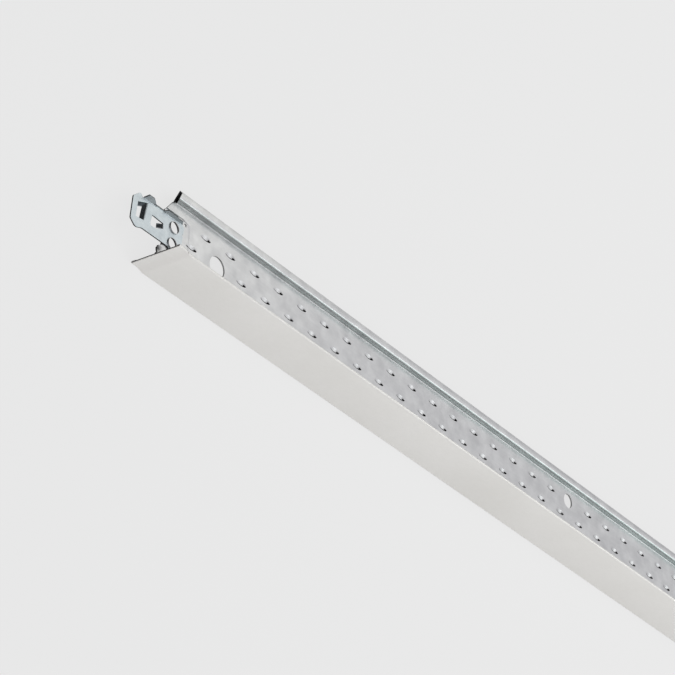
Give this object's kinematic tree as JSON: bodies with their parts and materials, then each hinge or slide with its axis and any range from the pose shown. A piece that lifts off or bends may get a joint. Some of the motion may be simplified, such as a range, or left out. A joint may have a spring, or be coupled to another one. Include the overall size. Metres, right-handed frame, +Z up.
{
  "type": "ceiling grid tee",
  "caption": "Stitched steel ceiling grid tee with a hollow bulb, a hemmed painted face and a lock clip staked to each end; carries lay-in panels on its flange.",
  "frame": {"origin": "on the floor under the middle of the outline, with the tee lying on one hem and one bulb corner", "axes": "+X along the tee from the pictured end to the hidden end, +Y from the painted face towards the bulb, +Z up"},
  "size_m": [1.2088, 0.0358, 0.0236],
  "materials": {
    "galvanised_strip": "hot dip galvanised, skin passed",
    "painted_cap": "satin white coil coating",
    "zinc_clip": "bright zinc plated"
  },
  "bodies": {
    "root": {"tee_body": "galvanised_strip", "face_cap": "painted_cap", "clip_a": "zinc_clip", "clip_b": "zinc_clip"}
  },
  "joints": []
}
